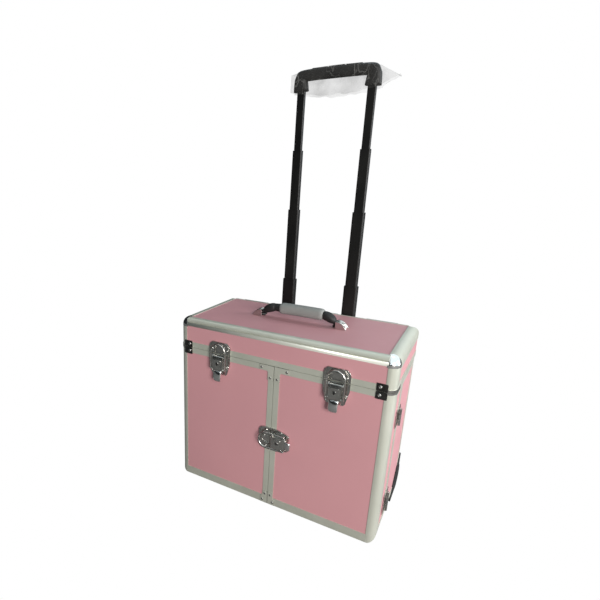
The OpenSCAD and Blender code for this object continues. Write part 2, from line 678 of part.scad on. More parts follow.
bottom_panel();
rear_panel();
side_panels();
body_frame_left();
body_frame_right();
compartment_floor();
compartment_front();
drawer_shelf();
drawer_runners();
front_feet();
wheel_housing_left();
wheel_housing_right();
wheel_axles();
wheel_left();
wheel_right();
door_hinges_fixed();
lid_hinges_fixed();
trolley_fixed_tubes();
lid_top_panel();
lid_front_panel();
lid_side_panels();
lid_edges_side();
lid_edge_front();
lid_edge_rear();
lid_rim();
lid_ball_corners();
lid_brackets();
lid_catches();
lid_hinges_moving();
handle_mounts();
handle_grip();
handle_arms();
door_panel_left();
door_panel_right();
door_lining_left();
door_lining_right();
door_edge_left();
door_edge_right();
door_strips_left();
door_strips_right();
door_fittings_left();
door_fittings_right();
latch_plates_left();
latch_plates_right();
latch_lever_left();
latch_lever_right();
latch_lever_door();
latch_bail_left();
latch_bail_right();
latch_bail_door();
drawer_1();
drawer_2();
drawer_3();
trolley_stage_1();
trolley_stage_2();
trolley_stage_3();
trolley_stage_4();
trolley_grip();
grip_button();
grip_film();
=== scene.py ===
"""Looks for a rolling makeup train case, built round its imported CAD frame.

X runs across the case, -Y towards the doors, Z up. All lengths are in metres.
"""

import json
import math

import bmesh
import bpy
from mathutils import Matrix, Vector, noise


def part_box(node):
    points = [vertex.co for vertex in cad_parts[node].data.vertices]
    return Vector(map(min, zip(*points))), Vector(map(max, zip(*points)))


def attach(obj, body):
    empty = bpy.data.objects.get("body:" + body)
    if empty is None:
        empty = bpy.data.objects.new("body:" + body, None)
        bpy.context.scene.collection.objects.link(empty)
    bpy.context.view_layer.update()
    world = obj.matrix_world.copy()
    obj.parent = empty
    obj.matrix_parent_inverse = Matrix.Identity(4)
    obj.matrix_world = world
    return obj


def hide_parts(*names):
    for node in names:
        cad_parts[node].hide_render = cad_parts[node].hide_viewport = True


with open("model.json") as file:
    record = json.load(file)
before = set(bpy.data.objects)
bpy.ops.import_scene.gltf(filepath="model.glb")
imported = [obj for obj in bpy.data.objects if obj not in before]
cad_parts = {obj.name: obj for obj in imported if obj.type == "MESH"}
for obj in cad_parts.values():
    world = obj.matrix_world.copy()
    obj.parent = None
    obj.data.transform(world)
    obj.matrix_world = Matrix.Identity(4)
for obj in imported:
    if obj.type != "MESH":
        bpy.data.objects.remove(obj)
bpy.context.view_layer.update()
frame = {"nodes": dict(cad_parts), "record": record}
nodes = frame["nodes"]
MM = 0.001

# ---- Camera and lights -----------------------------------------------------

lid_low, lid_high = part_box("lid_rim")
CASE_X = (lid_low[0] + lid_high[0]) / 2
CASE_Y = (lid_low[1] + lid_high[1]) / 2
CASE_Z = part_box("door_strips_left")[0][2]
CASE_W = lid_high[0] - lid_low[0]
FRONT_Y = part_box("door_strips_left")[0][1]
LID_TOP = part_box("lid_edge_front")[1][2]
PARTING_Z = (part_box("door_strips_left")[1][2] + lid_low[2]) / 2
# strength of the plain light round the case, in front of it and behind it
AMBIENT_FRONT, AMBIENT_BACK = 0.23, 0.36


def make_camera():
    azimuth, elevation, roll = (math.radians(a) for a in (30.38, 17.41, 1.04))
    place = Vector((CASE_X + 0.2945, CASE_Y - 0.7847, CASE_Z + 0.6078))
    back = Vector((math.sin(azimuth) * math.cos(elevation),
                   -math.cos(azimuth) * math.cos(elevation), math.sin(elevation)))
    right = Vector((math.cos(azimuth), math.sin(azimuth), 0))
    up = back.cross(right)
    across = right * math.cos(roll) + up * math.sin(roll)
    upward = up * math.cos(roll) - right * math.sin(roll)
    data = bpy.data.cameras.new("camera")
    data.lens = 26.34
    data.sensor_width = 36
    data.shift_x = 0.125
    data.shift_y = 0.0406
    data.clip_start = 0.02
    camera = bpy.data.objects.new("camera", data)
    turn = Matrix((across, upward, back)).transposed().to_4x4()
    camera.matrix_world = Matrix.Translation(place) @ turn
    bpy.context.collection.objects.link(camera)
    bpy.context.scene.camera = camera


def make_light(name, place, target, size, power, colour=(1, 1, 1)):
    data = bpy.data.lights.new(name, "AREA")
    data.shape = "RECTANGLE"
    data.size, data.size_y = size
    data.energy = power
    data.color = colour
    light = bpy.data.objects.new(name, data)
    direction = Vector(target) - Vector(place)
    light.matrix_world = Matrix.Translation(place) @ direction.to_track_quat("-Z", "Y").to_matrix().to_4x4()
    bpy.context.collection.objects.link(light)


def make_room():
    """A white backdrop for the camera only; a dimmer, cooler world and three lights for the case."""
    world = bpy.data.worlds.new("studio")
    bpy.context.scene.world = world
    world.use_nodes = True
    tree = world.node_tree
    rays = tree.nodes.new("ShaderNodeLightPath")
    direction = tree.nodes.new("ShaderNodeTexCoord").outputs["Generated"]

    def ranged(source, start, end, low, high):
        node = tree.nodes.new("ShaderNodeMapRange")
        for socket, value in (("From Min", start), ("From Max", end), ("To Min", low), ("To Max", high)):
            node.inputs[socket].default_value = value
        tree.links.new(source, node.inputs["Value"])
        return node.outputs["Result"]

    def toward(x, y, z):
        node = tree.nodes.new("ShaderNodeVectorMath")
        node.operation = "DOT_PRODUCT"
        node.inputs[1].default_value = (x, y, z)
        tree.links.new(direction, node.inputs[0])
        return node.outputs["Value"]

    def maths(operation, first, second):
        node = tree.nodes.new("ShaderNodeMath")
        node.operation = operation
        tree.links.new(first, node.inputs[0])
        tree.links.new(second, node.inputs[1])
        return node.outputs["Value"]

    def mixed(factor, first, second, kind="FLOAT"):
        node = tree.nodes.new("ShaderNodeMix")
        node.data_type = kind
        places = {"FLOAT": (0, 2, 3), "RGBA": (0, 6, 7)}[kind]
        tree.links.new(factor, node.inputs[places[0]])
        for place, value in zip(places[1:], (first, second)):
            if isinstance(value, bpy.types.NodeSocket):
                tree.links.new(value, node.inputs[place])
            else:
                node.inputs[place].default_value = value
        return node.outputs[0 if kind == "FLOAT" else 2]

    soft = ranged(toward(0.0, 1.0, 0.25), -0.9, 0.9, AMBIENT_FRONT, AMBIENT_BACK)
    # what bright metal mirrors: dark to the front left and below, light to the right and above, broken up
    patches = tree.nodes.new("ShaderNodeTexNoise")
    patches.inputs["Scale"].default_value = 1.7
    patches.inputs["Detail"].default_value = 1.0
    tree.links.new(direction, patches.inputs["Vector"])
    broken = ranged(patches.outputs["Fac"], 0.3, 0.7, -0.38, 0.38)
    mirrored = ranged(maths("ADD", toward(0.62, -0.05, 0.55), broken), 0.10, 0.38, 0.02, 1.15)
    level = mixed(rays.outputs["Is Glossy Ray"], soft, mirrored)
    level = mixed(rays.outputs["Is Camera Ray"], level, 1.0)
    tree.links.new(level, tree.nodes["Background"].inputs["Strength"])
    colour = mixed(rays.outputs["Is Camera Ray"], (0.86, 0.96, 1.0, 1), (1, 1, 1, 1), "RGBA")
    tree.links.new(colour, tree.nodes["Background"].inputs["Color"])
    bpy.context.scene.view_settings.view_transform = "Standard"
    mesh = bpy.data.meshes.new("floor")
    reach = 3
    mesh.from_pydata([(-reach, -reach, 0), (reach, -reach, 0), (reach, reach, 0), (-reach, reach, 0)],
                     [], [(0, 1, 2, 3)])
    floor = bpy.data.objects.new("floor", mesh)
    floor.visible_camera = False
    bpy.context.collection.objects.link(floor)
    paint = bpy.data.materials.new("floor_grey")
    paint.use_nodes = True
    shader = paint.node_tree.nodes["Principled BSDF"]
    shader.inputs["Base Color"].default_value = (0.17, 0.167, 0.16, 1)
    shader.inputs["Roughness"].default_value = 0.9
    mesh.materials.append(paint)
    make_light("key", (2.1, -2.2, 1.1), (0, 0, 0.25), (1.1, 1.5), 86, (1.0, 0.95, 0.92))
    make_light("side", (2.6, 0.6, 0.9), (0.1, 0, 0.25), (1.0, 1.6), 56, (0.97, 0.97, 1.0))
    make_light("top", (0.2, 0.9, 2.8), (0, 0, 0.4), (1.6, 1.0), 9, (0.72, 0.92, 1.0))


make_camera()
make_room()

# ---- Materials --------------------------------------------------------------


class Paint:
    """A node material with a few helpers that keep each recipe short."""

    def __init__(self, name, colour, roughness, metallic=0.0, **sockets):
        self.material = bpy.data.materials.new(name)
        self.material.use_nodes = True
        self.tree = self.material.node_tree
        self.shader = self.tree.nodes["Principled BSDF"]
        self.shader.inputs["Base Color"].default_value = (*colour, 1)
        self.shader.inputs["Roughness"].default_value = roughness
        self.shader.inputs["Metallic"].default_value = metallic
        for socket, value in sockets.items():
            self.shader.inputs[socket.replace("_", " ")].default_value = value
        self.place = self.tree.nodes.new("ShaderNodeTexCoord").outputs["Object"]

    def noise(self, scale, detail=3.0, stretch=(1, 1, 1), roughness=0.5):
        mapping = self.tree.nodes.new("ShaderNodeMapping")
        mapping.inputs["Scale"].default_value = stretch
        self.tree.links.new(self.place, mapping.inputs["Vector"])
        texture = self.tree.nodes.new("ShaderNodeTexNoise")
        texture.inputs["Scale"].default_value = scale
        texture.inputs["Detail"].default_value = detail
        texture.inputs["Roughness"].default_value = roughness
        self.tree.links.new(mapping.outputs["Vector"], texture.inputs["Vector"])
        return texture.outputs["Fac"]

    def cells(self, scale):
        texture = self.tree.nodes.new("ShaderNodeTexVoronoi")
        texture.inputs["Scale"].default_value = scale
        self.tree.links.new(self.place, texture.inputs["Vector"])
        return texture.outputs["Distance"]

    def lines(self, scale, level, width, stretch):
        """Thin wandering lines, where a noise passes through one level."""
        node = self.tree.nodes.new("ShaderNodeMath")
        node.operation = "COMPARE"
        node.inputs[1].default_value = level
        node.inputs[2].default_value = width
        self.tree.links.new(self.noise(scale, 2, stretch), node.inputs[0])
        return node.outputs["Value"]

    def total(self, *sources):
        """The sum of several values, no more than 1."""
        result = sources[0]
        for source in sources[1:]:
            node = self.tree.nodes.new("ShaderNodeMath")
            node.operation = "ADD"
            node.use_clamp = True
            self.tree.links.new(result, node.inputs[0])
            self.tree.links.new(source, node.inputs[1])
            result = node.outputs["Value"]
        return result

    def ramp(self, source, low, high, start=0.3, end=0.7):
        ramp = self.tree.nodes.new("ShaderNodeMapRange")
        ramp.inputs["From Min"].default_value = start
        ramp.inputs["From Max"].default_value = end
        ramp.inputs["To Min"].default_value = low
        ramp.inputs["To Max"].default_value = high
        self.tree.links.new(source, ramp.inputs["Value"])
        return ramp.outputs["Result"]

    def colours(self, source, first, second, start=0.3, end=0.7):
        ramp = self.tree.nodes.new("ShaderNodeValToRGB")
        ramp.color_ramp.elements[0].position = start
        ramp.color_ramp.elements[0].color = (*first, 1)
        ramp.color_ramp.elements[1].position = end
        ramp.color_ramp.elements[1].color = (*second, 1)
        self.tree.links.new(source, ramp.inputs["Fac"])
        self.tree.links.new(ramp.outputs["Color"], self.shader.inputs["Base Color"])

    def rough(self, source, low, high, start=0.3, end=0.7):
        self.tree.links.new(self.ramp(source, low, high, start, end), self.shader.inputs["Roughness"])

    def bump(self, source, depth, strength=1.0):
        node = self.tree.nodes.new("ShaderNodeBump")
        node.inputs["Distance"].default_value = depth
        node.inputs["Strength"].default_value = strength
        self.tree.links.new(source, node.inputs["Height"])
        previous = self.shader.inputs["Normal"]
        if previous.is_linked:
            self.tree.links.new(previous.links[0].from_socket, node.inputs["Normal"])
        self.tree.links.new(node.outputs["Normal"], previous)


def pink_laminate():
    paint = Paint("pink_laminate", (0.62, 0.30, 0.33), 0.46, Coat_Weight=0.12, Coat_Roughness=0.4)
    paint.colours(paint.noise(3.5, 2), (0.605, 0.305, 0.33), (0.665, 0.338, 0.36))
    paint.rough(paint.noise(26, 4), 0.42, 0.54)
    paint.bump(paint.noise(900, 2), 0.00003, 0.6)
    return paint.material


def anodised_aluminium():
    paint = Paint("anodised_aluminium", (0.58, 0.60, 0.515), 0.40, metallic=0.4)
    paint.colours(paint.noise(14, 3), (0.56, 0.58, 0.495), (0.64, 0.655, 0.57))
    paint.rough(paint.noise(60, 5, (1, 1, 0.06)), 0.34, 0.48)
    paint.bump(paint.noise(420, 3, (1, 1, 0.02)), 0.00004, 0.5)
    return paint.material


# a lighter copy of the anodised aluminium: painted highlight for the bead along the lid's front edge
def painted_highlight_aluminium():
    paint = Paint("painted_highlight_aluminium", (0.70, 0.72, 0.64), 0.36, metallic=0.25)
    paint.colours(paint.noise(14, 3), (0.67, 0.69, 0.61), (0.75, 0.77, 0.69))
    paint.rough(paint.noise(60, 5, (0.06, 1, 1)), 0.32, 0.44)
    return paint.material


def polished_nickel():
    paint = Paint("polished_nickel", (0.62, 0.61, 0.58), 0.16, metallic=1.0)
    paint.colours(paint.noise(45, 3), (0.50, 0.49, 0.46), (0.70, 0.69, 0.66))
    paint.rough(paint.noise(90, 4), 0.12, 0.26)
    return paint.material


def nickel_painted_dark_reflection():
    """The corner brackets' nickel, painted dark: a painted reflection of something dark, beside pale rivets.
    """
    paint = Paint("nickel_painted_dark_reflection", (0.10, 0.098, 0.094), 0.2, metallic=1.0)
    paint.colours(paint.noise(60, 3), (0.07, 0.068, 0.065), (0.16, 0.155, 0.15))
    paint.rough(paint.noise(90, 4), 0.14, 0.28)
    return paint.material


def brushed_steel():
    paint = Paint("brushed_steel", (0.36, 0.355, 0.34), 0.34, metallic=1.0)
    paint.colours(paint.noise(40, 3), (0.28, 0.275, 0.265), (0.42, 0.415, 0.40))
    paint.rough(paint.noise(120, 4, (1, 0.1, 1)), 0.26, 0.46)
    return paint.material


def moulded_black():
    paint = Paint("moulded_black", (0.012, 0.012, 0.012), 0.5, Specular_IOR_Level=0.35)
    paint.colours(paint.noise(30, 3), (0.009, 0.009, 0.009), (0.018, 0.018, 0.018))
    paint.rough(paint.noise(55, 4), 0.42, 0.58)
    paint.bump(paint.noise(1100, 2), 0.00005, 0.7)
    return paint.material


def painted_tube():
    paint = Paint("painted_tube", (0.006, 0.006, 0.006), 0.42, Specular_IOR_Level=0.3)
    paint.colours(paint.noise(18, 3), (0.005, 0.005, 0.005), (0.011, 0.011, 0.010))
    paint.rough(paint.noise(40, 4, (1, 1, 0.1)), 0.36, 0.50)
    paint.bump(paint.noise(1300, 2), 0.00003, 0.5)
    return paint.material


def black_lining():
    paint = Paint("black_lining", (0.028, 0.027, 0.029), 0.85, Sheen_Weight=0.25)
    paint.colours(paint.noise(240, 4), (0.018, 0.018, 0.020), (0.042, 0.041, 0.044))
    paint.rough(paint.noise(60, 3), 0.78, 0.95)
    paint.bump(paint.cells(900), 0.00018, 0.6)
    return paint.material


def grey_foam():
    paint = Paint("grey_foam", (0.25, 0.262, 0.25), 0.72)
    paint.colours(paint.noise(35, 4), (0.225, 0.236, 0.225), (0.285, 0.297, 0.285))
    paint.rough(paint.noise(80, 3), 0.64, 0.80)
    paint.bump(paint.noise(1500, 3), 0.00010, 0.6)
    return paint.material


def tyre_rubber():
    paint = Paint("tyre_rubber", (0.030, 0.026, 0.024), 0.75)
    paint.colours(paint.noise(90, 4), (0.022, 0.019, 0.018), (0.050, 0.042, 0.037))
    paint.rough(paint.noise(70, 3), 0.66, 0.88)
    paint.bump(paint.noise(700, 3), 0.00012, 0.7)
    return paint.material


def soft_pad():
    paint = Paint("soft_pad", (0.022, 0.022, 0.022), 0.66, Specular_IOR_Level=0.35)
    paint.colours(paint.noise(50, 3), (0.017, 0.017, 0.017), (0.030, 0.030, 0.030))
    paint.rough(paint.noise(80, 3), 0.58, 0.74)
    paint.bump(paint.cells(700), 0.0002, 0.5)
    return paint.material


def mirror_chrome():
    paint = Paint("mirror_chrome", (0.90, 0.90, 0.89), 0.05, metallic=1.0)
    paint.rough(paint.noise(60, 3), 0.03, 0.10)
    paint.bump(paint.noise(35, 2), 0.00012, 0.4)
    return paint.material


def clear_film():
    """Thin crumpled film: a faint grey veil, cloudy in places, a little lighter along sharp creases."""
    paint = Paint("clear_film", (0.10, 0.10, 0.095), 0.2, Alpha=0.2, IOR=1.45)
    long_folds = paint.lines(13, 0.48, 0.0045, (1.6, 1, 0.5))
    short_folds = paint.lines(36, 0.55, 0.008, (1, 1, 0.6))
    creases = paint.total(long_folds, short_folds)
    paint.colours(creases, (0.10, 0.10, 0.095), (0.34, 0.345, 0.33), 0.1, 0.9)
    veil = paint.ramp(paint.noise(24, 3), 0.12, 0.30, 0.40, 0.62)
    milky = paint.ramp(creases, 0.0, 0.04, 0.0, 1.0)
    paint.tree.links.new(paint.total(veil, milky), paint.shader.inputs["Alpha"])
    paint.rough(paint.noise(60, 3), 0.12, 0.32)
    paint.bump(paint.noise(24, 4), 0.004, 0.9)
    return paint.material


pink = pink_laminate()
aluminium = anodised_aluminium()
bead_highlight_paint = painted_highlight_aluminium()
nickel = polished_nickel()
bracket_painted_reflection = nickel_painted_dark_reflection()
steel = brushed_steel()
black = moulded_black()
tube_black = painted_tube()
lining = black_lining()
foam = grey_foam()
rubber = tyre_rubber()
film = clear_film()
grip_pad = soft_pad()
bright_chrome = mirror_chrome()

PAINTS = {
    "pink_panel": pink, "aluminium_profile": aluminium, "chrome_fitting": nickel, "steel_hinge": steel,
    "black_lining": lining, "black_plastic": black, "grey_grip": foam, "wheel_rubber": rubber,
    "black_tube": tube_black, "clear_film": film,
}
slot_of = {part["node"]: part["material_slot"] for part in frame["record"]["subparts"]}
for name, node in nodes.items():
    for socket in node.material_slots:
        socket.material = PAINTS[slot_of[name]]

# ---- Mesh helpers -----------------------------------------------------------

NO_MOVE = Matrix.Identity(4)


def add_piece(name, verts, faces, paint, body, place=NO_MOVE, bevel=0.0, smooth=True, segments=3):
    """A mesh given in millimetres, put in place, beveled, and made to ride on a body."""
    mesh = bpy.data.meshes.new(name)
    mesh.from_pydata([place @ (Vector(v) * MM) for v in verts], [], faces)
    work = bmesh.new()
    work.from_mesh(mesh)
    bmesh.ops.remove_doubles(work, verts=work.verts, dist=1e-6)
    bmesh.ops.recalc_face_normals(work, faces=work.faces)
    work.to_mesh(mesh)
    work.free()
    piece = bpy.data.objects.new(name, mesh)
    bpy.context.collection.objects.link(piece)
    mesh.materials.append(paint)
    for face in mesh.polygons:
        face.use_smooth = smooth
    if bevel:
        rounding = piece.modifiers.new("rounding", "BEVEL")
        rounding.width = bevel * MM
        rounding.segments = segments
        rounding.limit_method = "ANGLE"
        rounding.angle_limit = math.radians(35)
        rounding.harden_normals = True
    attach(piece, body)
    return piece


def prism(outline, low, high, axis="Y"):
    """Vertices and faces of a 2D outline pushed from low to high along an axis, in millimetres."""
    order = {"X": lambda a, b, t: (t, a, b), "Y": lambda a, b, t: (a, t, b)}[axis]
    count = len(outline)
    verts = [order(a, b, t) for t in (low, high) for a, b in outline]
    sides = [(i, (i + 1) % count, count + (i + 1) % count, count + i) for i in range(count)]
    return verts, [tuple(range(count)), tuple(range(2 * count - 1, count - 1, -1)), *sides]


def arc(centre, radius, start, end, steps):
    """Points along a circle, from start to end degrees."""
    angles = [math.radians(start + (end - start) * i / steps) for i in range(steps + 1)]
    return [(centre[0] + radius * math.cos(a), centre[1] + radius * math.sin(a)) for a in angles]


def rounded(width, height, radius, centre=(0, 0), steps=5):
    """Outline of a rounded rectangle."""
    points = []
    for sx, sy, start in ((1, 1, 0), (-1, 1, 90), (-1, -1, 180), (1, -1, 270)):
        corner = (centre[0] + sx * (width / 2 - radius), centre[1] + sy * (height / 2 - radius))
        points += arc(corner, radius, start, start + 90, steps)
    return points


def loft(rings, closed_ends=True):
    """Faces that join rings of equal length, each a list of 3D points."""
    count = len(rings[0])
    verts = [point for ring in rings for point in ring]
    faces = []
    for r in range(len(rings) - 1):
        for i in range(count):
            j = (i + 1) % count
            faces.append((r * count + i, r * count + j, (r + 1) * count + j, (r + 1) * count + i))
    if closed_ends:
        faces.append(tuple(range(count)))
        faces.append(tuple(range(len(verts) - 1, len(verts) - count - 1, -1)))
    return verts, faces


def sweep(path, half_sizes, sides, power):
    """A round-cornered bar along a path of (x, z), with a half depth and half height at each point."""
    rings = []
    for i, (x, z) in enumerate(path):
        before, after = path[max(i - 1, 0)], path[min(i + 1, len(path) - 1)]
        along = Vector((after[0] - before[0], after[1] - before[1])).normalized()
        normal = Vector((-along.y, along.x))
        depth, height = half_sizes[i]
        ring = []
        for k in range(sides):
            a = 2 * math.pi * k / sides
            c, d = math.cos(a), math.sin(a)
            across = depth * math.copysign(abs(c) ** (2 / power), c)
            out = height * math.copysign(abs(d) ** (2 / power), d)
            ring.append((x + normal.x * out, across, z + normal.y * out))
        rings.append(ring)
    return loft(rings)


def disc(radius, low, high, centre, sides, axis="Y"):
    return prism(arc(centre, radius, 0, 360 * (sides - 1) / sides, sides - 1), low, high, axis)


def joined(*parts):
    """Several vertex and face lists as one."""
    verts, faces = [], []
    for part_verts, part_faces in parts:
        start = len(verts)
        verts += part_verts
        faces += [tuple(start + i for i in face) for face in part_faces]
    return verts, faces


# ---- Trolley grip and its film ----------------------------------------------

grip_low, grip_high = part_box("trolley_grip")
GRIP_PLACE = Matrix.Translation(((grip_low[0] + grip_high[0]) / 2,
                                 (grip_low[1] + grip_high[1]) / 2, grip_low[2]))
GRIP_HALF = (grip_high[0] - grip_low[0]) / 2 / MM
GRIP_DEEP = (grip_high[1] - grip_low[1]) / 2 / MM
GRIP_TALL = (grip_high[2] - grip_low[2]) / MM
# the bar's half height, how much its middle is crowned, and the height of its middle line
BAR_HALF = 9.8
BAR_CROWN = 3.4
BAR_Z = GRIP_TALL - BAR_HALF - BAR_CROWN


def grip_path(steps=52):
    """The middle line of the grip, from the foot of one socket over the bar to the other."""
    foot = GRIP_HALF - 16
    splay = 1.5
    bar_share = 0.78
    points = []
    for i in range(steps + 1):
        t = 2 * i / steps - 1
        side = math.copysign(1, t)
        a = abs(t)
        if a > bar_share:
            drop = (a - bar_share) / (1 - bar_share)
            points.append((side * (foot + splay * (1 - drop)), BAR_Z * (1 - drop)))
        else:
            bend = a / bar_share
            x = (foot + splay) * math.sin(bend * math.pi / 2) ** 0.92 if bend else 0
            points.append((side * x, BAR_Z + BAR_CROWN * (1 - bend ** 3)))
    return points


def make_grip():
    path = grip_path()
    sizes = []
    for x, z in path:
        near_foot = 1 - min(z / BAR_Z, 1)
        sizes.append((GRIP_DEEP - 1.0 - 1.0 * near_foot, BAR_HALF + 5.0 * near_foot ** 0.4))
    verts, faces = sweep(path, sizes, sides=28, power=3.0)
    grip = add_piece("trolley_grip_body", verts, faces, black, "trolley_4", GRIP_PLACE)
    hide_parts("trolley_grip")
    # soft pads let into the top of the bar, one each side of the button
    pads = []
    for side in (-1, 1):
        line = [(x, z + BAR_HALF - 1.6) for x, z in path if 17 < side * x < 50]
        pads.append(sweep(line, [(GRIP_DEEP - 4.0, 2.3)] * len(line), sides=20, power=4))
    verts, faces = joined(*pads)
    add_piece("trolley_grip_pads", verts, faces, grip_pad, "trolley_4", GRIP_PLACE)


def make_film():
    """The loose clear bag round the grip: crumpled, open below and drawn out to the right."""
    across, along = 64, 150
    # the share of the sheet that lies over the top of the grip
    crest = 0.22
    low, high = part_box("grip_film")
    low = Vector(low) / MM
    high = Vector(high) / MM
    centre = GRIP_PLACE.translation / MM
    verts, faces = [], []
    for i in range(along + 1):
        t = i / along
        x = low.x + 1 + (high.x - low.x - 2) * t
        rel = (x - centre.x) / GRIP_HALF
        past_right = max(0.0, rel - 0.98)
        top = centre.z + GRIP_TALL + 0.6 - 9.5 * min(abs(rel), 1) ** 2.2 - 46 * past_right
        hang = centre.z - 3 - 9 * math.sin(math.pi * min(max((rel + 1) / 2, 0), 1)) ** 0.8
        hang += 44 * past_right
        half = GRIP_DEEP + 0.9 - 19 * past_right ** 0.9
        for j in range(across + 1):
            u = 2 * j / across - 1
            reach = abs(u)
            # over the top for the middle stretch, then down both sides
            if reach < crest:
                y = half * math.sin(reach / crest * math.pi / 2) ** 0.8 * math.copysign(1, u)
                z = top - 2.2 * (reach / crest) ** 3
            else:
                fall = (reach - crest) / (1 - crest)
                y = half * math.copysign(1, u)
                z = top - 2.2 - (top - 2.2 - hang) * fall
            place = Vector((x, y * 3.0, z)) * 0.035
            crease = noise.ridged_multi_fractal(place, 0.9, 2.1, 4, 0.9, 2.0) - 1.0
            wave = noise.noise(place * 0.55)
            loose = 0.25 + 0.75 * (reach > crest) * min(1, (reach - crest) * 3)
            shove = (1.1 * crease + 1.5 * wave) * loose
            y += math.copysign(1, u) * max(-3.0, min(0.9, shove))
            ragged = 3.2 * noise.noise(Vector((x * 0.06, u * 2, 7))) if reach > 0.95 else 0
            z += 0.5 * wave + ragged
            z = max(low.z + 0.4, min(high.z + 2.0, z))
            verts.append((x, centre.y + y, z))
    row = across + 1
    for i in range(along):
        for j in range(across):
            a = i * row + j
            faces.append((a, a + 1, a + row + 1, a + row))
    sheet = add_piece("grip_film_wrap", verts, faces, film, "trolley_4")
    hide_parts("grip_film")


# ---- Carry handle ------------------------------------------------------------

hold_low, hold_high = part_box("handle_grip")
HOLD_PLACE = Matrix.Translation((CASE_X, (hold_low[1] + hold_high[1]) / 2, LID_TOP))
HOLD_LEFT = (hold_low[0] - CASE_X) / MM
HOLD_HALF = (hold_high[0] - CASE_X) / MM
HOLD_Z = (hold_low[2] + hold_high[2]) / 2 / MM - LID_TOP / MM
mount_low, mount_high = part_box("handle_mounts")
MOUNT_OUT = (mount_high[0] - mount_low[0]) / 2 / MM


def make_carry_handle():
    # foam sleeve, a little crowned, with soft ends
    steps = 26
    path = [(HOLD_LEFT + (HOLD_HALF - HOLD_LEFT) * i / steps, HOLD_Z + 0.5 * math.sin(math.pi * i / steps))
            for i in range(steps + 1)]
    sizes = []
    for i in range(steps + 1):
        end = min(i, steps - i)
        soften = 1 - 0.16 * max(0, 1 - end / 1.6) ** 2
        sizes.append((12 * soften, 10.6 * soften))
    verts, faces = sweep(path, sizes, sides=28, power=2.7)
    sleeve = add_piece("carry_grip_sleeve", verts, faces, foam, "carry_handle", HOLD_PLACE)
    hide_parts("handle_grip")
    arms = []
    for side in (-1, 1):
        # moulded arm from the sleeve down into the mount
        path, sizes = [], []
        for i in range(15):
            t = i / 14
            x = HOLD_HALF - 0.5 + 26.5 * t
            z = HOLD_Z - 0.6 - (HOLD_Z - 8.0) * (t ** 1.9)
            path.append((side * x, z))
            swell = math.sin(math.pi * min(0.1 + t * 1.05, 1)) ** 0.5
            sizes.append((6.2 + 3.4 * swell, 5.0 + 4.0 * swell - 0.8 * t))
        arms.append(sweep(path, sizes, sides=20, power=2.5))
        if side < 0:
            bare = [(HOLD_LEFT + 1 - i * (HOLD_HALF + HOLD_LEFT + 4) / 8, HOLD_Z) for i in range(9)]
            tapered = [(8.6 - 0.15 * i, 8.2 - 0.15 * i) for i in range(9)]
            arms.append(sweep(bare, tapered, sides=20, power=2.5))
        tongue = rounded(16, 4.6, 1.5, (side * (MOUNT_OUT - 17), 3.4))
        arms.append(prism(tongue, -5, 5))
    verts, faces = joined(*arms)
    piece = add_piece("carry_handle_arms", verts, faces, black, "carry_handle", HOLD_PLACE)
    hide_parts("handle_arms")


def make_handle_mounts():
    """Two chrome fans, ribbed over their backs, each open towards the handle."""
    ribs, shells = [], []
    for side in (-1, 1):
        inner = MOUNT_OUT - 19
        for k in range(-3, 4):
            y = k * 2.75
            top = 14.2 - 0.22 * k * k
            spread = 1.0 + 0.02 * k * k
            outline = [(inner + 1, top)]
            for i in range(9):
                t = i / 8
                out = inner + 3 + (MOUNT_OUT - inner - 3) * spread * t * 0.97
                outline.append((out, top + 0.8 - (top + 0.6) * t ** 2.4))
            outline += [(MOUNT_OUT - 5, 0.2), (inner + 12, top - 3.6), (inner + 1, top - 3)]
            ribs.append(prism([(side * x, z) for x, z in outline], y - 1.0, y + 1.0))
        for y0, y1 in ((-9, -6.6), (6.6, 9)):
            cheek = [(inner, -0.6), (MOUNT_OUT - 0.5, -0.6), (MOUNT_OUT - 1.5, 3.5),
                     (MOUNT_OUT - 8, 11.5), (inner, 13.6)]
            shells.append(prism([(side * x, z) for x, z in cheek], y0, y1))
        roof = [(inner, 11.8), (inner, 13.4), (MOUNT_OUT - 8, 11.6), (MOUNT_OUT - 1.6, 3.2),
                (MOUNT_OUT - 1.6, -0.6), (MOUNT_OUT - 4, -0.6), (MOUNT_OUT - 5, 3.0), (MOUNT_OUT - 10, 10.4)]
        shells.append(prism([(side * x, z) for x, z in roof], -6.8, 6.8))
    verts, faces = joined(*ribs, *shells)
    piece = add_piece("carry_handle_mounts", verts, faces, nickel, "lid", HOLD_PLACE,
                      bevel=0.45)
    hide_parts("handle_mounts")


# ---- Latches, drawn with the seam at the origin, the catch up and -Y outward --

def front_latch(node):
    low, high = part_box(node)
    return Matrix.Translation(((low[0] + high[0]) / 2, FRONT_Y, PARTING_Z))


def door_latch():
    low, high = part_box("latch_bail_door")
    turn = Matrix.Rotation(math.radians(-90), 4, "Y")
    return Matrix.Translation((CASE_X, FRONT_Y, (low[2] + high[2]) / 2)) @ turn


# half the width of a latch plate, and how far its base reaches below the seam
PLATE_HALF = 23.5
LONG_BASE, SHORT_BASE = 42, 38
# how far the finger tab reaches below the lock case
LONG_TAB, SHORT_TAB = 24, 13


def catch_outline(shrink=0.0):
    half = PLATE_HALF - shrink
    crown = arc((0, 6), 24.5 - shrink, 40, 140, 18)
    flattened = [(x, min(z, 24 - shrink)) for x, z in crown if abs(x) < half - 3]
    return [(-half, 0.7 + shrink), (half, 0.7 + shrink), (half, 13 - shrink),
            (half - 1.6, 19 - shrink * 0.5), *flattened, (-half + 1.6, 19 - shrink * 0.5),
            (-half, 13 - shrink)]


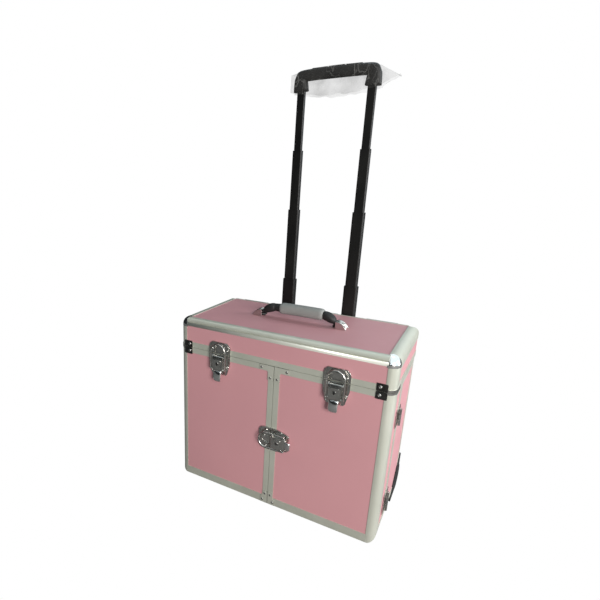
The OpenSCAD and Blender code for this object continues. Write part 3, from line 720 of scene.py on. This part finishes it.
def base_outline(length, shrink=0.0):
    half = PLATE_HALF - shrink
    foot = half - 6
    end = -length + shrink
    return [(half, -0.7 - shrink), (half, -14), (foot + 1.2, -length * 0.8), (foot, end + 3),
            (foot - 3, end), (9.5, end), *arc((0, end - 5), 8.4, 35, 145, 8),
            (-9.5, end), (3 - foot, end), (-foot, end + 3),
            (-foot - 1.2, -length * 0.8), (-half, -14), (-half, -0.7 - shrink)]


def rim_of(outer, inner, low, high):
    """A raised rim between two outlines with the same number of points."""
    count = len(outer)
    verts = [(x, y, z) for outline in (outer, inner) for y in (low, high) for x, z in outline]
    faces = []
    for i in range(count):
        j = (i + 1) % count
        faces.append((i, j, count + j, count + i))
        faces.append((2 * count + i, 3 * count + i, 3 * count + j, 2 * count + j))
        faces.append((count + i, count + j, 3 * count + j, 3 * count + i))
        faces.append((i, 2 * count + i, 2 * count + j, j))
    return verts, faces


def domed_rivet(x, z, radius=2.3, base=-1.5):
    """A round head with a dimple in its middle."""
    profile = [(radius, base), (radius, base - 0.5), (radius * 0.72, base - 1.05),
               (radius * 0.42, base - 1.1), (radius * 0.30, base - 0.7), (0.01, base - 0.65)]
    sides = 18
    rings = [[(x + r * math.cos(2 * math.pi * k / sides), y, z + r * math.sin(2 * math.pi * k / sides))
              for k in range(sides)] for r, y in profile]
    return loft(rings, closed_ends=False)


def make_catch(name, place, body):
    outer, inner = catch_outline(), catch_outline(2.2)
    parts = [prism(outer, -1.4, 0), rim_of(outer, inner, -1.0, -2.3)]
    # hook and its hood
    hood = [(-6.5, 5), (6.5, 5), (7.4, 12), (5.0, 18.2), (0, 20.2), (-5.0, 18.2), (-7.4, 12)]
    parts.append(prism(hood, -2.6, -1.2))
    parts.append(prism(rounded(11, 5.4, 1.2, (0, 14)), -4.1, -2.4))
    for x in (-17, 17):
        parts.append(domed_rivet(x, 9))
    for x in (-10.4, 10.4):
        parts.append(prism(rounded(2.2, 12, 1.0, (x, 9)), -2.7, -1.2))
    verts, faces = joined(*parts)
    return add_piece(name, verts, faces, nickel, body, place, bevel=0.35, segments=2)


def make_base(name, place, body, length):
    outer, inner = base_outline(length), base_outline(length, 2.0)
    parts = [prism(outer, -1.4, 0), rim_of(outer, inner, -1.0, -2.1)]
    for x in (-12.4, 12.4):
        ear = [(-1.0, -1.0), (-3.0, -6.6), (-5.6, -8.8), (-8.4, -7.4), (-10.6, -1.0)]
        parts.append(prism([(y, z) for z, y in ear], x - 0.8, x + 0.8, "X"))
    parts.append(disc(1.5, -13.6, 13.6, (-6, -6), 18, "X"))
    for x in (-18.6, 18.6):
        parts.append(domed_rivet(x, -24 if length == LONG_BASE else -22, 2.1))
    verts, faces = joined(*parts)
    return add_piece(name, verts, faces, nickel, body, place, bevel=0.3, segments=2)


def make_lever(node, place, body, tab):
    half = 11
    # lock case: side outline in Y and Z, thicker in the middle
    side = [(-2.2, -6), *arc((-6, -6), 3.9, 0, 180, 10), (-10.4, -8.5), (-11, -12), (-11, -26),
            (-9.6, -32.5), (-8.6, -34), (-2.2, -34)]
    case = prism(side, -half, half, "X")
    # lock face with its raised square
    face = prism(rounded(15, 15, 1.6, (0, -17)), -11.9, -10.8)
    verts, faces = joined(case, face)
    lever = add_piece(node + "_case", verts, faces, nickel, body, place, bevel=0.7)
    # finger tab: a bright tongue that swells outward and curls at its tip
    rows, columns = 14, 8
    rings = []
    for i in range(rows + 1):
        t = i / rows
        z = -32.5 - (tab - 1.5) * math.sin(t * math.pi / 2)
        y = -9.8 - 3.0 * math.sin(t * math.pi * 0.9) + 2.4 * t * t
        wide = 8.2 - 1.6 * t ** 2.5
        front = [(wide * (2 * k / columns - 1), y - 0.9 * math.cos(math.pi * (k / columns - 0.5)), z)
                 for k in range(columns + 1)]
        rings.append(front + [(x, yy + 1.5, z + 0.3) for x, yy, _ in reversed(front)])
    verts, faces = loft(rings)
    add_piece(node + "_tab", verts, faces, bright_chrome, body, place)
    # key barrel, and a black sheet on its face in the shape of the slot: painted shade for the dark inside
    # of the slot
    verts, faces = disc(3.6, -12.4, -11.6, (0, -17), 28)
    add_piece(node + "_barrel", verts, faces, steel, body, place, bevel=0.3)
    slot_shade_outline = [(0, -13.6), (2.0, -16.2), (1.0, -17.4), (1.1, -20.2),
            (-1.1, -20.2), (-1.0, -17.4), (-2.0, -16.2)]
    verts, faces = prism(slot_shade_outline, -12.55, -12.2)
    add_piece(node + "_key_slot_painted_shade", verts, faces, black, body, place)
    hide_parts(node)


def make_latches():
    left, right, middle = front_latch("latch_bail_left"), front_latch("latch_bail_right"), door_latch()
    catch = make_catch("catch_left", left, "lid")
    make_catch("catch_right", right, "lid")
    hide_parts("lid_catches")
    base = make_base("latch_base_left", left, "left_door", LONG_BASE)
    make_catch("catch_door", middle, "left_door")
    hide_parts("latch_plates_left")
    base = make_base("latch_base_right", right, "right_door", LONG_BASE)
    make_base("latch_base_door", middle, "right_door", SHORT_BASE)
    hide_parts("latch_plates_right")
    make_lever("latch_lever_left", left, "lever_left", LONG_TAB)
    make_lever("latch_lever_right", right, "lever_right", LONG_TAB)
    make_lever("latch_lever_door", middle, "lever_door", SHORT_TAB)


# ---- Brackets and rivets, set out from the middle of the front at the case bottom ----

FRONT_PLACE = Matrix.Translation((CASE_X, FRONT_Y, CASE_Z))
DOOR_TOP = (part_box("door_strips_left")[1][2] - CASE_Z) / MM
LID_BOTTOM = (lid_low[2] - CASE_Z) / MM
HALF_W = CASE_W / 2 / MM


def make_brackets():
    """Plates with pale rivets on the corners, their dark colour a painted reflection, and rivets on the
    middle brackets.
    """
    for side, word in ((-1, "left"), (1, "right")):
        x = side * (HALF_W - 21)
        door = word + "_door"
        for up, body in ((True, "lid"), (False, door)):
            z = LID_BOTTOM + 6.9 if up else DOOR_TOP - 6.9
            # the corner plates' dark nickel is a painted reflection
            verts, faces = prism(rounded(18.4, 13.6, 2.2, (x, z)), -1.35, -0.6)
            where = "upper" if up else "lower"
            add_piece(f"corner_bracket_{where}_{word}", verts, faces, bracket_painted_reflection, body,
                      FRONT_PLACE, bevel=0.3, segments=2)
            verts, faces = domed_rivet(x - side * 3, z, 3.1, -1.3)
            add_piece(f"corner_rivet_{where}_{word}", verts, faces, nickel, body,
                      FRONT_PLACE)
        top = [(0.6, DOOR_TOP - 0.2), (29.2, DOOR_TOP - 0.2), (29.2, DOOR_TOP - 10.6),
               (14.5, DOOR_TOP - 10.6), (12.2, DOOR_TOP - 13), (12.2, DOOR_TOP - 27.5),
               (10.6, DOOR_TOP - 29.2), (0.6, DOOR_TOP - 29.2)]
        low = [(0.6, 0.6), (15.2, 0.6), (15.2, 13.4), (14, 14.6), (11, 15.4), (11, 27.2), (0.6, 27.2)]
        plates = [prism([(side * x, z) for x, z in outline], -1.25, -0.5) for outline in (top, low)]
        verts, faces = joined(*plates)
        add_piece("middle_brackets_" + word, verts, faces, aluminium, door,
                  FRONT_PLACE, bevel=0.3, segments=2)
        heads = [domed_rivet(side * x, z, 2.4, -1.15)
                 for x, z in ((25, DOOR_TOP - 5.5), (7, DOOR_TOP - 24), (6, 22), (11, 7))]
        verts, faces = joined(*heads)
        add_piece("middle_rivets_" + word, verts, faces, steel, door, FRONT_PLACE)


def make_front_edge():
    """The profile along the top front of the lid: a bead in lighter aluminium, a painted highlight, a
    groove, and the crown above.
    """
    low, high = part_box("lid_edge_front")
    deep, tall = (high[1] - low[1]) / MM, (high[2] - low[2]) / MM
    place = Matrix.Translation((CASE_X, low[1], high[2]))
    half = (high[0] - low[0]) / 2 / MM
    bead = [(1.4, -tall), (0.5, -tall)]
    bead += [(0.5 - 0.9 * math.sin(math.pi * t / 8), 0.4 - tall + 0.85 * t) for t in range(9)]
    bead += [(1.4, 7.3 - tall)]
    verts, faces = prism(bead, -half, half, "X")
    add_piece("lid_front_edge_bead", verts, faces, bead_highlight_paint, "lid", place)
    back = [(1.3, -tall), (1.3, 7.3 - tall), (2.4, 7.5 - tall), (2.4, 8.6 - tall), (0.9, 8.9 - tall)]
    turns = [math.radians(a) for a in range(166, 89, -4)]
    crown = [(9.4 + 9.0 * math.cos(a), -9.0 + 9.0 * math.sin(a)) for a in turns]
    outline = back + crown + [(deep, 0), (deep, -5.8), (5.8, -5.8), (5.8, -tall)]
    verts, faces = prism(outline, -half, half, "X")
    piece = add_piece("lid_front_edge_crown", verts, faces, aluminium, "lid", place,
                      smooth=False)
    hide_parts("lid_edge_front")


def make_corner_caps():
    """Polished caps over the two top front corners: a rounded corner drawn out a little along each edge."""
    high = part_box("lid_ball_corners")[1]
    radius, drawn_out = 15.9, 2.6
    steps = 18
    caps = []
    for side in (-1, 1):
        top = high[2] / MM - CASE_Z / MM
        corner = Vector((side * (HALF_W - radius + 0.4), radius - 0.4, top - radius + 0.4))
        rings = []
        for i in range(steps + 1):
            up = math.pi / 2 * i / steps
            ring = []
            for k in range(steps + 1):
                turn = math.pi / 2 * k / steps
                level = math.cos(up)
                normal = Vector((side * level * math.sin(turn), -level * math.cos(turn), math.sin(up)))
                ring.append(corner + normal * radius)
            front = ring[0] - Vector((side * drawn_out, 0, 0))
            back = ring[-1] + Vector((0, drawn_out, 0))
            rings.append([tuple(p) for p in (front, *ring, back)])
        rings.insert(0, [(x, y, z - drawn_out) for x, y, z in rings[0]])
        count = len(rings[0])
        verts = [p for ring in rings for p in ring]
        faces = [(r * count + i, r * count + i + 1, (r + 1) * count + i + 1, (r + 1) * count + i)
                 for r in range(len(rings) - 1) for i in range(count - 1)]
        caps.append((verts, faces))
    verts, faces = joined(*caps)
    piece = add_piece("lid_corner_caps", verts, faces, bright_chrome, "lid", FRONT_PLACE)
    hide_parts("lid_ball_corners")


# ---- Linings -------------------------------------------------------------------

ACROSS_X, ACROSS_Y, ACROSS_Z = Vector((1, 0, 0)), Vector((0, 1, 0)), Vector((0, 0, 1))


def make_lining(name, body, corner, along, up, width, height, outward, thick=0.9, pitch=26):
    """A thin quilted sheet glued to an inner face, its stitches pulled in and its border flat."""
    columns, rows = max(8, round(width / 4)), max(8, round(height / 4))
    verts, faces = [], []
    for j in range(rows + 1):
        for i in range(columns + 1):
            u, v = width * i / columns, height * j / rows
            border = min(u, v, width - u, height - v)
            puff = abs(math.sin(math.pi * (u + v) / pitch) * math.sin(math.pi * (u - v) / pitch)) ** 0.4
            lift = thick * (0.35 + 0.65 * puff * min(1, border / 6)) if border > 0 else 0.05
            verts.append(tuple(corner + along * u + up * v + outward * lift))
    row = columns + 1
    for j in range(rows):
        for i in range(columns):
            a = j * row + i
            faces.append((a, a + 1, a + row + 1, a + row))
    add_piece(name, verts, faces, lining, body, FRONT_PLACE)


def make_linings():
    def local(node):
        low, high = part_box(node)
        return [(Vector(p) - FRONT_PLACE.translation) / MM for p in (low, high)]

    metal = local("lid_front_panel")[1].y
    rear = local("rear_panel")[0].y
    top_low, top_high = local("lid_top_panel")
    floor = local("compartment_floor")[1].z
    board = local("compartment_front")[1].y
    inner = HALF_W - metal
    make_lining("lining_lid_top", "lid", Vector((top_low.x + 1, top_low.y + 1, top_low.z)), ACROSS_X,
                ACROSS_Y, top_high.x - top_low.x - 2, top_high.y - top_low.y - 2, -ACROSS_Z)
    make_lining("lining_lid_front", "lid", Vector((-inner + 2, metal, LID_BOTTOM + 1)), ACROSS_X, ACROSS_Z,
                2 * inner - 4, top_low.z - LID_BOTTOM - 4, ACROSS_Y)
    make_lining("lining_rear", "case", Vector((-inner + 3, rear, floor + 1)), ACROSS_X, ACROSS_Z,
                2 * inner - 6, top_low.z - floor - 7, -ACROSS_Y)
    for side, word in ((-1, "left"), (1, "right")):
        door = word + "_door"
        wall = Vector((side * inner, 0, 0))
        corner = wall + Vector((0, metal + 2, LID_BOTTOM + 1))
        make_lining("lining_lid_" + word, "lid", corner, ACROSS_Y, ACROSS_Z,
                    rear - metal - 12, top_low.z - LID_BOTTOM - 4, -side * ACROSS_X)
        corner = wall + Vector((0, board + 1, floor + 1))
        make_lining("lining_case_" + word, "case", corner, ACROSS_Y, ACROSS_Z,
                    rear - board - 2, LID_BOTTOM - floor - 3, -side * ACROSS_X)
        # one field below the door's shelf and one above it
        for where, low, high in (("low", 5.5, 119.5), ("high", 123.5, DOOR_TOP - 10.5)):
            corner = Vector((side * 5, metal, low))
            make_lining(f"lining_door_{where}_{word}", door, corner, side * ACROSS_X, ACROSS_Z,
                        inner - 6, high - low, ACROSS_Y)


# ---- Wheels and drawer knobs ---------------------------------------------------


def lathe(profile, sides, tread=0.0):
    """A ring turned round X from points of (radius, x); tread is cut into every other pair of segments."""
    rings = []
    for k in range(sides):
        a = 2 * math.pi * k / sides
        cut = tread if k % 4 < 2 else 0
        ring = []
        for r, x in profile:
            deep = r - cut if cut and abs(x) < 6.5 and r > 28 else r
            ring.append((x, deep * math.cos(a), deep * math.sin(a)))
        rings.append(ring)
    return loft(rings + [rings[0]], closed_ends=False)


def make_wheel(side, word):
    low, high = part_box("wheel_" + word)
    place = Matrix.Translation([(a + b) / 2 for a, b in zip(low, high)])
    radius = (high[2] - low[2]) / 2 / MM
    half = (high[0] - low[0]) / 2 / MM
    body = word + "_wheel"
    # half the tyre's section, from its inner edge out to the groove round its middle
    section = [(radius - 10, 2.4 - half), (radius - 7, 0.6 - half), (radius - 3, 0.3 - half),
               (radius - 0.6, 2.6 - half), (radius, 4.6 - half), (radius, -6), (radius, -2),
               (radius - 1.2, -1.4)]
    profile = section + [(r, -x) for r, x in reversed(section)]
    verts, faces = lathe(profile + [profile[0]], 96, tread=0.8)
    tyre = add_piece("tyre_" + word, verts, faces, rubber, body, place)
    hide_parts("wheel_" + word)
    rim = lathe([(radius - 9.5, 2.6 - half), (radius - 9.5, half - 2.6), (radius - 12.5, half - 2.6),
                 (radius - 12.5, 2.6 - half), (radius - 9.5, 2.6 - half)], 64)
    boss = lathe([(4.6, 0.4 - half), (9, 0.4 - half), (9, half - 0.4), (4.6, half - 0.4),
                  (4.6, 0.4 - half)], 40)
    spokes = []
    for k in range(6):
        a = math.pi * k / 3
        along, across = Vector((math.cos(a), math.sin(a))), Vector((-math.sin(a), math.cos(a)))
        outline = [along * 8.5 + across * 3.2, along * (radius - 12) + across * 2.2,
                   along * (radius - 12) - across * 2.2, along * 8.5 - across * 3.2]
        spokes.append(prism([tuple(p) for p in outline], -half + 4.5, half - 4.5, "X"))
    verts, faces = joined(rim, boss, *spokes)
    add_piece("wheel_hub_" + word, verts, faces, black, body, place, bevel=0.4, segments=2)


# how far a drawer's knobs stand from its middle
KNOB_X = 100


def make_knobs():
    """Turned metal knobs over the plain ones of each drawer."""
    profile = [(3.4, 8.2), (3.4, 4.6), (6.9, 4.1), (7.0, 1.2), (6.4, 0.1), (3.0, -0.35), (0.05, -0.4)]
    turns = [2 * math.pi * k / 32 for k in range(32)]
    for i, body in enumerate(("lower_drawer", "middle_drawer", "upper_drawer"), 1):
        low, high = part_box(f"drawer_{i}")
        knobs = [loft([[(x + r * math.cos(a), y, r * math.sin(a)) for a in turns] for r, y in profile],
                      closed_ends=False) for x in (-KNOB_X, KNOB_X)]
        verts, faces = joined(*knobs)
        place = Matrix.Translation((CASE_X, low[1], (low[2] + high[2]) / 2))
        add_piece(f"drawer_knobs_{i}", verts, faces, nickel, body, place)


make_grip()
make_film()
make_carry_handle()
make_handle_mounts()
make_latches()
make_brackets()
make_front_edge()
make_corner_caps()
make_linings()
make_wheel(-1, "left")
make_wheel(1, "right")
make_knobs()
